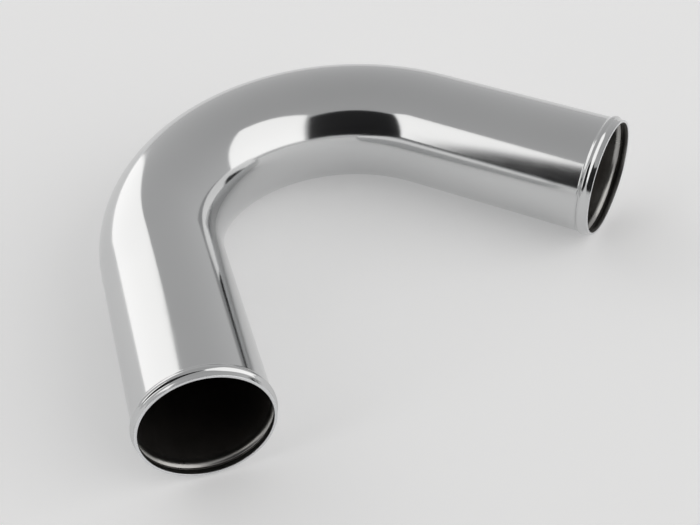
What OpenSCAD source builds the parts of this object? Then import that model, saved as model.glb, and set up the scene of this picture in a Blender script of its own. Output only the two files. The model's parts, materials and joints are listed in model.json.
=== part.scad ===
// Pipe bend for an engine bay air duct, made from one length of round aluminium tube.
// The tube is bent once on a mandrel and keeps a straight leg on each side of the bend.
// A rolled bead just behind each cut end stops a clamped hose from sliding off.
// It lies flat: X runs across the legs, Y points from the mouths to the bend, Z is up.

/* [Tube] */
// Outside diameter of the tube, mm
tube_od = 76; // [50:1:90]
// Thickness of the tube's wall, mm
wall = 1.6; // [1.2:0.1:2.5]

/* [Bend] */
// Radius of the bend, measured to the middle of the tube, mm
bend_radius = 114; // [90:1:200]
// Angle that the tube turns through, degrees
bend_angle = 135; // [45:5:165]

/* [Legs] */
// Straight length of the left leg, from the end of the bend to the mouth, mm
left_leg = 133; // [60:1:250]
// Straight length of the right leg, from the end of the bend to the mouth, mm
right_leg = 129; // [60:1:250]

/* [Hose beads] */
// Height of the bead above the tube, mm
bead_height = 1.5; // [1:0.1:2]
// Width of the bead along the tube, mm
bead_width = 7; // [6:0.5:12]
// Length of plain tube between the bead and the cut end, mm
lip = 2; // [1:0.5:12]

/* [Hidden] */
$fn = 96;

outer_r = tube_od / 2;
inner_r = outer_r - wall;

// Each leg leans out from the middle plane of the bend by half of the turn.
half_turn = bend_angle / 2;
past_middle = 5;

// The bead's section is an S on each side: an arc out of the tube, then an arc over the
// crest, both of one radius and meeting smoothly half way up.
bead_turn = 2 * atan(2 * bead_height / bead_width);
bead_r = bead_width / (4 * sin(bead_turn));
bead_middle = lip + bead_width / 2;

// Rolling pushes the wall outwards, so the inside has a groove of the same depth, and the
// wall keeps its thickness as far as the crest's radius allows.
groove_shift = min(wall, 0.85 * bead_r);

// How far the part reaches, from the centre of the bend, before it is moved to its place.
bead_crest_r = outer_r + bead_height - bead_r;
function reach_out(leg) = bend_radius * sin(half_turn) + leg * cos(half_turn)
    + max(outer_r * sin(half_turn),
          bead_crest_r * sin(half_turn) - bead_middle * cos(half_turn) + bead_r);
function reach_down(leg) = leg * sin(half_turn) - bend_radius * cos(half_turn)
    + max(outer_r * cos(half_turn),
          bead_crest_r * cos(half_turn) - bead_middle * sin(half_turn) + bead_r);
reach_left = reach_out(left_leg);
reach_right = reach_out(right_leg);
reach_front = max(reach_down(left_leg), reach_down(right_leg));
reach_back = bend_radius + outer_r;

// The origin is under the middle of the part, where the beads touch the table.
to_middle = [(reach_left - reach_right) / 2, (reach_front - reach_back) / 2,
    outer_r + bead_height];

aluminium = [0.77, 0.78, 0.79];

// Half of a bead's lengthways section, filled to the axis: x is the radius and y runs from
// the mouth into the leg. First the crest, between the two points where the arcs meet.
module crest_section(crest_x, crest_r, crest_half) {
    intersection() {
        translate([crest_x, bead_middle])
            circle(r = crest_r);
        translate([0, bead_middle - crest_half])
            square([crest_x + 2 * crest_r, 2 * crest_half]);
    }
}

// The foot on one side of the crest, hollowed by an arc that leaves the tube at foot_y.
module foot_section(surface, foot_r, foot_width, start_y, foot_y) {
    difference() {
        translate([0, start_y])
            square([surface + bead_height, foot_width]);
        translate([surface + foot_r, foot_y])
            circle(r = foot_r);
    }
}

// A round bar with the bead's wave on it, upright with the mouth at z = 0. The shift moves
// the arcs inwards, so that the same bar at the inner radius is the leg's hollow.
module beaded_bar(surface, shift, length) {
    foot_r = bead_r + shift;
    crest_r = bead_r - shift;
    crest_half = crest_r * sin(bead_turn);
    foot_width = bead_width / 2 - crest_half;

    crest_x = surface + bead_height - crest_r;

    cylinder(r = surface, h = length);
    translate([0, 0, bead_middle - crest_half])
        cylinder(r = crest_x, h = 2 * crest_half);
    rotate_extrude()
        crest_section(crest_x, crest_r, crest_half);
    rotate_extrude()
        foot_section(surface, foot_r, foot_width, lip, lip);
    rotate_extrude()
        foot_section(surface, foot_r, foot_width, bead_middle + crest_half, lip + bead_width);
}

// A straight leg with its bead, upright with the mouth at z = 0.
module leg(length) {
    difference() {
        beaded_bar(outer_r, 0, length);
        beaded_bar(inner_r, groove_shift, length);
    }
}

// One half of the part, on the +X side of the bend's middle plane. The bent tube starts at
// the leg and runs a little past the plane, where it is cut off flat.
module half_pipe(length) {
    difference() {
        rotate([0, 0, 90 - half_turn])
            union() {
                rotate_extrude(angle = half_turn + past_middle)
                    translate([bend_radius, 0])
                        difference() {
                            circle(r = outer_r);
                            circle(r = inner_r);
                        }
                translate([bend_radius, -length, 0])
                    rotate([-90, 0, 0])
                        leg(length);
            }
        translate([-bend_radius, 0, -tube_od])
            cube([bend_radius, 2 * reach_back, 2 * tube_od]);
    }
}

module pipe_bend() {
    color(aluminium)
        translate(to_middle)
            union() {
                half_pipe(right_leg);
                mirror([1, 0, 0])
                    half_pipe(left_leg);
            }
}

pipe_bend();
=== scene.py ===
# %% [markdown]
# A polished aluminium pipe bend from an engine's air duct lies on a pale table. This
# lesson builds it in Blender as a maker would: one tube is swept round the bend, its
# straight legs are drawn out, a bead is rolled near each end, and it is then polished.
# The frame comes first, because it fixes where the part is and how large it is.

# %% Load the frame
import json
import math
from collections import namedtuple

import bmesh
import bpy
from mathutils import Matrix, Vector


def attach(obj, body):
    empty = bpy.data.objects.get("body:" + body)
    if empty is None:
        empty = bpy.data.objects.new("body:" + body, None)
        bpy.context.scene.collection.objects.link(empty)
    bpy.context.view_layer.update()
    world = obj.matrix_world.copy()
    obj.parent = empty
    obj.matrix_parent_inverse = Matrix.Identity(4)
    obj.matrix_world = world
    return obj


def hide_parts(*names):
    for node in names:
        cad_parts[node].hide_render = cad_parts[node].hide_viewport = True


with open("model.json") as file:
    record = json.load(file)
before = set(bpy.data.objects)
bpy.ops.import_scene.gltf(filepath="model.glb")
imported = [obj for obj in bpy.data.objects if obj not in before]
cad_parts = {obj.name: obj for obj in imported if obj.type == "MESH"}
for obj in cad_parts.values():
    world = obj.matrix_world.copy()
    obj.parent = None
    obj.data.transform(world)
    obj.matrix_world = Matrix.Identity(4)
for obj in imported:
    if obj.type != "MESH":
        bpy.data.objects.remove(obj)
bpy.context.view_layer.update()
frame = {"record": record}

# %% [markdown]
# The record states each mouth as a bore and each plain end as a pin, so the tube's radii,
# the lengths of its legs and the way they point are read from there. Only the bend and
# the bead are given here, in metres, since no mount states them.

# %% Sizes of the tube
mounts = {mount["name"]: mount for mount in frame["record"]["mounts"]}
outer_r = mounts["left_hose_end"]["dims"]["r_mm"] / 1000
inner_r = mounts["left_mouth"]["dims"]["r_mm"] / 1000
lip = mounts["left_hose_end"]["dims"]["length_mm"] / 1000
wall = outer_r - inner_r

bend_radius = 0.114
bend_angle = math.radians(135)
bead_height = 0.0015
bead_width = 0.007

Leg = namedtuple("Leg", "mouth outward length bend_end")


def leg_of(side):
    """One leg: its mouth, the way it points, its length and where it meets the bend."""
    mount = mounts[side + "_mouth"]
    mouth = Vector(mount["pos_m"])
    outward = Vector(mount["axis"]).normalized()
    length = mount["dims"]["length_mm"] / 1000
    return Leg(mouth, outward, length, mouth - outward * length)


print("outer radius", outer_r, "wall", round(wall, 4), "lip", lip)

# %% [markdown]
# The section of the bead is an S on each side: an arc that leaves the tube, then an arc
# over the crest. Both have one radius, as a rolling wheel leaves them. It could be drawn
# with a curve and a bevel object, but a list of stations, each a distance from the mouth
# and a radius, is easier to extrude along a leg.

# %% Stations along a leg
arc_steps = 7
bead_turn = 2 * math.atan(2 * bead_height / bead_width)
bead_r = bead_width / (4 * math.sin(bead_turn))
bead_middle = lip + bead_width / 2


def along(turn):
    """How far an arc of the bead runs along the tube over this turn."""
    return bead_r * math.sin(turn)


def away(turn):
    """How far the arc leaves the surface that it starts on over this turn."""
    return bead_r * (1 - math.cos(turn))


def leg_stations():
    """(distance from the mouth, radius) from the bead's inner foot out to the cut end."""
    rising = [bead_turn * step / arc_steps for step in range(arc_steps + 1)]
    over = [bead_turn * (1 - step / arc_steps) for step in range(1, 2 * arc_steps)]
    falling = [bead_turn * (1 - step / arc_steps) for step in range(arc_steps + 1)]
    inner_foot = [(lip + bead_width - along(turn), outer_r + away(turn)) for turn in rising]
    crest = [(bead_middle + along(turn), outer_r + bead_height - away(turn)) for turn in over]
    outer_foot = [(lip + along(turn), outer_r + away(turn)) for turn in falling]
    return inner_foot + crest + outer_foot + [(0, outer_r)]


print("stations on each leg", len(leg_stations()))

# %% [markdown]
# The real tube is bent on a mandrel, which keeps its section round. Here a circle is
# spun about the centre of the bend, so every section stays round too. A sweep along a
# curve would give the same shape, but a spin needs no second object and keeps the
# rings square to the tube. The centre lies square to the right leg, a bend radius away.

# %% Bend the tube
points_round = 160
bend_steps = 120
right_leg = leg_of("right")
towards_centre = Vector((right_leg.outward.y, -right_leg.outward.x, 0))
bend_centre = right_leg.bend_end + towards_centre * bend_radius
start_angle = math.atan2(-towards_centre.y, -towards_centre.x)

bpy.ops.object.select_all(action="DESELECT")
bpy.ops.mesh.primitive_circle_add(
    vertices=points_round, radius=outer_r, location=right_leg.bend_end,
    rotation=(math.pi / 2, 0, start_angle))
tube = bpy.context.object
tube.name = "polished_tube"
bpy.ops.object.transform_apply(location=True, rotation=True, scale=True)

bpy.ops.object.mode_set(mode="EDIT")
bpy.ops.mesh.select_mode(type="VERT")
bpy.ops.mesh.select_all(action="SELECT")
bpy.ops.mesh.spin(steps=bend_steps, angle=bend_angle, center=bend_centre, axis=(0, 0, -1))
bpy.ops.object.mode_set(mode="OBJECT")
highest_y = max(vertex.co.y for vertex in tube.data.vertices)
print("bend centre", [round(v, 4) for v in bend_centre], "highest y", round(highest_y, 4))

# %% [markdown]
# Each leg is drawn out of the open ring at its end of the bend: the ring is extruded to
# the next station and scaled to that station's radius about the leg's axis. A cylinder
# with loop cuts would do too, but then it would have to be joined to the bend. Drawn out
# like this, the lip, the bead and the plain leg are one skin, as on the real part.

# %% Draw out the legs and roll the beads
plane_tolerance = 1e-5
merge_distance = 1e-6


def select_ring(centre, normal):
    """Selects the points round centre that lie in the plane square to normal."""
    bpy.ops.mesh.select_all(action="DESELECT")
    mesh = bmesh.from_edit_mesh(tube.data)
    for vertex in mesh.verts:
        vertex.select = abs((vertex.co - centre).dot(normal)) < plane_tolerance
        vertex.select &= (vertex.co - centre).length < 2 * outer_r
    mesh.select_flush(True)
    bmesh.update_edit_mesh(tube.data)


bpy.ops.object.mode_set(mode="EDIT")
for side in ("right", "left"):
    leg = leg_of(side)
    select_ring(leg.bend_end, leg.outward)
    distance, radius = leg.length, outer_r
    for next_distance, next_radius in leg_stations():
        step = leg.outward * (distance - next_distance)
        bpy.ops.mesh.extrude_edges_move(TRANSFORM_OT_translate={"value": step})
        ratio = next_radius / radius
        bpy.ops.transform.resize(
            value=(ratio, ratio, ratio), center_override=leg.mouth - leg.outward * next_distance)
        distance, radius = next_distance, next_radius
bpy.ops.mesh.select_all(action="SELECT")
bpy.ops.mesh.remove_doubles(threshold=merge_distance)
bpy.ops.object.mode_set(mode="OBJECT")
print("faces in the skin", len(tube.data.polygons))

# %% [markdown]
# The faces have to point outwards before the tube gets its wall, or the wall would grow
# the wrong way. Recalculating makes them agree, but an open skin has no inside of its
# own, so one face of the bend is then held against the middle of the tube beside it.

# %% Turn the faces outwards
bpy.ops.object.mode_set(mode="EDIT")
bpy.ops.mesh.select_all(action="SELECT")
bpy.ops.mesh.normals_make_consistent(inside=False)
bpy.ops.object.mode_set(mode="OBJECT")

face = tube.data.polygons[0]
spoke = (face.center - bend_centre).to_2d().to_3d().normalized()
middle_of_tube = bend_centre + spoke * bend_radius
inside_out = face.normal.dot(face.center - middle_of_tube) < 0
if inside_out:
    bpy.ops.object.mode_set(mode="EDIT")
    bpy.ops.mesh.select_all(action="SELECT")
    bpy.ops.mesh.flip_normals()
    bpy.ops.object.mode_set(mode="OBJECT")
print("faces had to be flipped:", inside_out)

# %% [markdown]
# The skin gets its wall from a Solidify modifier, which offsets it inwards by the wall's
# thickness. A second, smaller skin bridged to the first would do the same with more work.
# The offset also forms the groove inside each bead, because rolling pushes the wall out
# without making it thinner. Its material offsets give the inside and the cut edges slots
# of their own, and the cut edges are then broken slightly, as a deburring tool leaves
# them.

# %% Give the tube its wall and break the cut edges
edge_break = 0.0002
break_steps = 3
smooth_below = math.radians(35)
inside_slot = 1
edge_slot = 2
for name in ("polished_outside", "drawn_inside", "cut_edge"):
    material = bpy.data.materials.new(name)
    material.use_nodes = True
    tube.data.materials.append(material)

solidify = tube.modifiers.new("wall", "SOLIDIFY")
solidify.thickness = wall
solidify.offset = -1
solidify.use_even_offset = True
solidify.material_offset = inside_slot
solidify.material_offset_rim = edge_slot
bpy.ops.object.modifier_apply(modifier=solidify.name)

bpy.ops.object.mode_set(mode="EDIT")
bpy.ops.mesh.select_mode(type="EDGE")
bpy.ops.mesh.select_all(action="DESELECT")
mesh = bmesh.from_edit_mesh(tube.data)
for edge in mesh.edges:
    slots = sorted(face.material_index for face in edge.link_faces)
    edge.select = len(slots) == 2 and slots[0] != slots[1] and edge_slot in slots
bmesh.update_edit_mesh(tube.data)
bpy.ops.mesh.bevel(
    offset=edge_break, segments=break_steps, affect="EDGES", material=edge_slot)
bpy.ops.object.mode_set(mode="OBJECT")
bpy.ops.object.shade_smooth_by_angle(angle=smooth_below)

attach(tube, "root")
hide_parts("pipe_bend")
print("faces with the wall", len(tube.data.polygons))

# %% [markdown]
# Shader maths reads best as sums and products, so one small class wraps a socket and
# turns each operator into a Math node. Every other node comes from the one method that
# takes its type, its settings and its inputs.

# %% A class for shader maths


class Shade:
    """A socket that can be added, subtracted, multiplied and limited to 0 to 1."""

    def __init__(self, tree, socket):
        self.tree = tree
        self.socket = socket

    @classmethod
    def node(cls, tree, kind, settings=None, inputs=None, output=0):
        """Adds a node: its settings are set first, then its sockets."""
        node = tree.nodes.new(kind)
        for key, value in (settings or {}).items():
            setattr(node, key, value)
        for key, value in (inputs or {}).items():
            if isinstance(value, cls):
                tree.links.new(value.socket, node.inputs[key])
            else:
                node.inputs[key].default_value = value
        return cls(tree, node.outputs[output])

    def maths(self, operation, first, second, clamp=False):
        settings = {"operation": operation, "use_clamp": clamp}
        return Shade.node(self.tree, "ShaderNodeMath", settings, {0: first, 1: second})

    def __add__(self, other):
        return self.maths("ADD", self, other)

    def __radd__(self, other):
        return self.maths("ADD", other, self)

    def __sub__(self, other):
        return self.maths("SUBTRACT", self, other)

    def __rsub__(self, other):
        return self.maths("SUBTRACT", other, self)

    def __mul__(self, other):
        return self.maths("MULTIPLY", self, other)

    def __rmul__(self, other):
        return self.maths("MULTIPLY", other, self)

    def limited(self):
        return self.maths("ADD", self, 0.0, clamp=True)


# %% [markdown]
# The three finishes need the same few things: noise, a mix of two colours, a bump and the
# links to the metal's shader. Each gets a short helper. The noise reads the part's own
# coordinates, so the pattern stays on the metal when the part is moved, and a larger
# scale on one axis makes it finer along that axis, which turns spots into lines.

# %% Helpers for the finishes


def noise(tree, place, scale, detail, fineness=(1, 1, 1)):
    """Noise at a scale, made finer along each axis by its own factor."""
    mapped = Shade.node(
        tree, "ShaderNodeMapping", inputs={"Vector": place, "Scale": fineness})
    return Shade.node(
        tree, "ShaderNodeTexNoise", inputs={"Vector": mapped, "Scale": scale, "Detail": detail})


def mixed(tree, amount, first, second):
    """A colour between two others, which a Mix node takes at 6 and 7 and gives at 2."""
    return Shade.node(
        tree, "ShaderNodeMix", {"data_type": "RGBA"},
        {0: amount, 6: first, 7: second}, output=2)


def bumped(tree, height, strength, depth):
    """The normal of a surface on which a height of 1 stands for this depth in metres."""
    return Shade.node(
        tree, "ShaderNodeBump",
        inputs={"Strength": strength, "Distance": depth, "Height": height})


def finish_metal(tree, colour, roughness, normal):
    """Gives the shader a metal's colour, roughness and bump."""
    shader = tree.nodes["Principled BSDF"]
    shader.inputs["Metallic"].default_value = 1
    tree.links.new(roughness.socket, shader.inputs["Roughness"])
    tree.links.new(normal.socket, shader.inputs["Normal"])
    if isinstance(colour, Shade):
        tree.links.new(colour.socket, shader.inputs["Base Color"])
    else:
        shader.inputs["Base Color"].default_value = colour


# %% [markdown]
# The outside is buffed to a mirror. A real buffed tube isn't perfect: it has very slight
# waves from the mop, a faint haze that comes and goes, and fine marks, which lie level
# here and so run along the sides of the tube. The waves are a low bump, and the haze and
# the marks are roughness that changes from place to place, so the reflections stay sharp
# in some spots and soften in others. One even roughness would look like plastic chrome.

# %% Polished outside
buffed_grey = (0.60, 0.605, 0.61, 1)
buffed_bright = (0.655, 0.66, 0.66, 1)
mirror_roughness = 0.085
haze_scale, haze_start, haze_amount = 14, 0.35, 0.12
mark_scale, mark_start, mark_amount = 60, 0.5, 0.08
mark_fineness = (1, 1, 14)
mark_height = 0.012
wave_scale = 9
wave_strength, wave_depth = 0.06, 0.002


def polished(material):
    tree = material.node_tree
    place = Shade.node(tree, "ShaderNodeTexCoord", output="Object")
    haze = noise(tree, place, haze_scale, detail=4)
    marks = noise(tree, place, mark_scale, detail=5, fineness=mark_fineness)
    waves = noise(tree, place, wave_scale, detail=1)
    hazy = haze_amount * (haze - haze_start).limited()
    marked = mark_amount * (marks - mark_start).limited()
    height = waves + mark_height * marks
    finish_metal(
        tree, colour=mixed(tree, haze.limited(), buffed_grey, buffed_bright),
        roughness=mirror_roughness + hazy + marked,
        normal=bumped(tree, height, wave_strength, wave_depth))
    print(material.name, "nodes", len(tree.nodes))


polished(bpy.data.materials["polished_outside"])

# %% [markdown]
# The inside keeps the dull skin of a drawn tube, with fine level lines and a dark tone deep
# in the pipe, which is partly oxide and partly painted shade. The buffing mop only reaches
# a little way in at each mouth, so the metal is brighter there. A separate ring of faces
# could carry that bright end, but it would stop at a hard line. Here the distance from the
# nearer mouth is worked out from the part's own coordinates, and the brightness fades with
# it into the painted shade.

# %% Drawn inside
# The two dark tones of the inside are partly oxide and partly painted shade deep in the pipe.
oxide_and_painted_shade_dark = (0.17, 0.155, 0.145, 1)
oxide_and_painted_shade_light = (0.30, 0.285, 0.27, 1)
mopped = (0.42, 0.415, 0.40, 1)
mop_reach = 0.009
mop_fade = 0.004
drawn_roughness = 0.42
line_scale, line_middle, line_amount = 45, 0.5, 0.15
line_fineness = (1, 1, 12)
line_strength, line_depth = 0.15, 0.0005
stain_scale = 18
mop_polish = 0.12


def depth_from(tree, place, side):
    """Distance in metres from a mouth into its leg."""
    leg = leg_of(side)
    outward_reach = Shade.node(
        tree, "ShaderNodeVectorMath", {"operation": "DOT_PRODUCT"},
        {0: place, 1: leg.outward}, output="Value")
    return leg.mouth.dot(leg.outward) - outward_reach


def drawn(material):
    tree = material.node_tree
    place = Shade.node(tree, "ShaderNodeTexCoord", output="Object")
    left = depth_from(tree, place, "left")
    right = depth_from(tree, place, "right")
    depth = left.maths("MINIMUM", left, right)
    bright = (1 - (depth - mop_reach) * (1 / mop_fade)).limited()
    lines = noise(tree, place, line_scale, detail=4, fineness=line_fineness)
    stain = noise(tree, place, stain_scale, detail=4)
    # Painted shade and oxide: noise mixes random patches of the two dark tones.
    oxide_and_painted_shade = mixed(tree, stain.limited(), oxide_and_painted_shade_dark, oxide_and_painted_shade_light)
    lined = line_amount * (lines - line_middle)
    # Bright metal near the mouths, fading deeper in to the dark oxide and painted shade.
    finish_metal(
        tree, colour=mixed(tree, bright, oxide_and_painted_shade, mopped),
        roughness=drawn_roughness + lined - mop_polish * bright,
        normal=bumped(tree, lines, line_strength, line_depth))
    print(material.name, "nodes", len(tree.nodes))


drawn(bpy.data.materials["drawn_inside"])

# %% [markdown]
# A saw cut the ends, and a file and a deburring tool dressed them. The narrow face is
# bright but not polished, so it is rougher than the outside and has a fine, close bump.
# It is too narrow for drawn saw marks to show, and noise alone does for it.

# %% Cut edge
fresh_aluminium = (0.77, 0.78, 0.79, 1)
grain_scale = 900
cut_roughness, grain_amount = 0.18, 0.16
grain_strength, grain_depth = 0.2, 0.0002


def sawn(material):
    tree = material.node_tree
    place = Shade.node(tree, "ShaderNodeTexCoord", output="Object")
    grain = noise(tree, place, grain_scale, detail=3)
    finish_metal(
        tree, colour=fresh_aluminium, roughness=cut_roughness + grain_amount * grain,
        normal=bumped(tree, grain, grain_strength, grain_depth))
    print(material.name, "nodes", len(tree.nodes))


sawn(bpy.data.materials["cut_edge"])

# %% [markdown]
# Polished metal shows its surroundings, so the stage matters more than the shader. The
# floor is pale. Light Path lifts it a little for the camera and for what metal or glass
# shows of it, and its plain diffuse part keeps the shadow under the pipe. Lifted all the
# way to white, it would bleach the lower side of the pipe, which mirrors it.

# %% Floor
floor_size = 12
floor_colour = (0.85, 0.85, 0.85, 1)
floor_lift = 0.23

bpy.ops.object.select_all(action="DESELECT")
bpy.ops.mesh.primitive_plane_add(size=floor_size, location=(0, 0, 0))
floor = bpy.context.object
floor.name = "floor"
floor_material = bpy.data.materials.new("pale_floor")
floor_material.use_nodes = True
tree = floor_material.node_tree
tree.nodes.remove(tree.nodes["Principled BSDF"])
path = tree.nodes.new("ShaderNodeLightPath")
camera_ray = Shade(tree, path.outputs["Is Camera Ray"])
glossy_ray = Shade(tree, path.outputs["Is Glossy Ray"])
transmission_ray = Shade(tree, path.outputs["Is Transmission Ray"])
seen = (camera_ray + glossy_ray + transmission_ray).limited()
diffuse = Shade.node(tree, "ShaderNodeBsdfDiffuse", inputs={"Color": floor_colour})
glow = Shade.node(
    tree, "ShaderNodeEmission", inputs={"Color": (1, 1, 1, 1), "Strength": seen * floor_lift})
both = Shade.node(tree, "ShaderNodeAddShader", inputs={0: diffuse, 1: glow})
tree.links.new(both.socket, tree.nodes["Material Output"].inputs["Surface"])
floor.data.materials.append(floor_material)
print("floor", [round(v, 2) for v in floor.dimensions])

# %% [markdown]
# Polished metal is a mirror, so each patch in the photograph is the picture of something
# in the studio. The largest is the room itself: plain grey, and a little darker overhead,
# where the top of the pipe looks. A picture of a real room would bring shapes of its own,
# so the world is plain and only its strength falls with height.

# %% Grey room
room_level = 0.60
ceiling_fall = 0.15

world = bpy.data.worlds.new("grey_room")
world.use_nodes = True
room = world.node_tree
direction = Shade.node(room, "ShaderNodeTexCoord", output="Generated")
upward = Shade.node(room, "ShaderNodeSeparateXYZ", inputs={0: direction}, output="Z")
strength = room_level - ceiling_fall * upward.limited()
room.nodes["Background"].inputs["Color"].default_value = (1, 1, 1, 1)
room.links.new(strength.socket, room.nodes["Background"].inputs["Strength"])
bpy.context.scene.world = world
print("room level", room_level, "overhead", round(room_level - ceiling_fall, 2))

# %% [markdown]
# Three soft panels stand in the room: a wide one in front and to the right, which whitens
# the inside of the bend, one behind that runs down the left leg as a white band, and a
# narrow one on the left that makes the white wedge on the right leg. Each is placed by
# the directions that the metal sees it in, which is easier to match to a photograph than
# metres would be. None shows to the camera itself.

# %% Soft panels
room_distance = 2.0
panel_level = 0.85
panel_colour = (1, 0.985, 0.97)


def upright(azimuths, elevations):
    """Place, turn, width and height of a board that stands upright round the pipe.

    It covers the given azimuths, and at its middle the given elevations, in degrees as
    seen from the origin, where azimuth 0 is -Y and 90 is +X.
    """
    middle = math.radians(sum(azimuths) / 2)
    half = math.radians((azimuths[1] - azimuths[0]) / 2)
    low, high = [room_distance * math.tan(math.radians(angle)) for angle in elevations]
    place = Vector((
        room_distance * math.sin(middle), -room_distance * math.cos(middle), (low + high) / 2))
    return place, (math.pi / 2, 0, middle), 2 * room_distance * math.tan(half), high - low


def soft_panel(name, azimuths, elevations):
    """An area light on an upright board, with pi times panel_level watts a square metre."""
    place, turn, width, height = upright(azimuths, elevations)
    light = bpy.data.lights.new(name, "AREA")
    light.shape = "RECTANGLE"
    light.size = width
    light.size_y = height
    light.color = panel_colour
    light.energy = panel_level * math.pi * width * height
    panel = bpy.data.objects.new(name, light)
    panel.location = place
    panel.rotation_euler = turn
    panel.visible_camera = False
    bpy.context.scene.collection.objects.link(panel)
    print(name, "width", round(width, 2), "height", round(height, 2))


soft_panel("front_panel", (-6, 65), (5, 58))
soft_panel("back_panel", (173, 211), (1, 42))
soft_panel("side_panel", (-104, -88), (8, 51))

# %% [markdown]
# Between the front panel and the side panel stands a dark card, as photographers use to
# draw a black patch in a mirror. A gap between the panels wouldn't do, because the grey
# room would show in it.

# %% Dark card
card_colour = (0.008, 0.008, 0.009, 1)
card_roughness = 0.9

place, turn, width, height = upright((-87, -9), (5, 55))
bpy.ops.object.select_all(action="DESELECT")
bpy.ops.mesh.primitive_plane_add(size=1, location=place, rotation=turn)
card = bpy.context.object
card.name = "dark_card"
card.scale = (width, height, 1)
card.visible_camera = False
card_material = bpy.data.materials.new("black_card")
card_material.use_nodes = True
card_shader = card_material.node_tree.nodes["Principled BSDF"]
card_shader.inputs["Base Color"].default_value = card_colour
card_shader.inputs["Roughness"].default_value = card_roughness
card.data.materials.append(card_material)
print("dark card width", round(width, 2), "height", round(height, 2))

# %% [markdown]
# The camera stands where the photograph was taken from: to the left of the pipe's middle
# plane and well above it, looking down into the near mouth. Its place was found by
# matching the outline of the pipe, in units of the tube's diameter about the centre of
# the bend. Its axes are worked out from two angles and a small roll, which says more to a
# reader than a matrix of nine numbers.

# %% Camera
tube_od = 2 * outer_r
camera_azimuth = math.radians(-36.18)
camera_elevation = math.radians(41.83)
camera_roll = math.radians(-3.73)
camera_distance = 9.371 * tube_od
aim = bend_centre + Vector((-0.2564, -0.3719, 0)) * tube_od
image_width = 700
focal_pixels = 1188.7
sensor_mm = 36

backwards = Vector((
    math.sin(camera_azimuth) * math.cos(camera_elevation),
    -math.cos(camera_azimuth) * math.cos(camera_elevation),
    math.sin(camera_elevation)))
sideways = (-backwards).cross(Vector((0, 0, 1))).normalized()
upwards = sideways.cross(-backwards)
right_axis = math.cos(camera_roll) * sideways + math.sin(camera_roll) * upwards
up_axis = -math.sin(camera_roll) * sideways + math.cos(camera_roll) * upwards

camera_data = bpy.data.cameras.new("camera")
camera_data.sensor_width = sensor_mm
camera_data.lens = focal_pixels / image_width * sensor_mm
camera_data.clip_start = 0.01
camera = bpy.data.objects.new("camera", camera_data)
bpy.context.scene.collection.objects.link(camera)
place = aim + backwards * camera_distance
turned = Matrix((right_axis, up_axis, backwards)).transposed().to_4x4()
camera.matrix_world = Matrix.Translation(place) @ turned
bpy.context.scene.camera = camera
bpy.context.scene.view_settings.view_transform = "Standard"
print("camera at", [round(v, 3) for v in place])
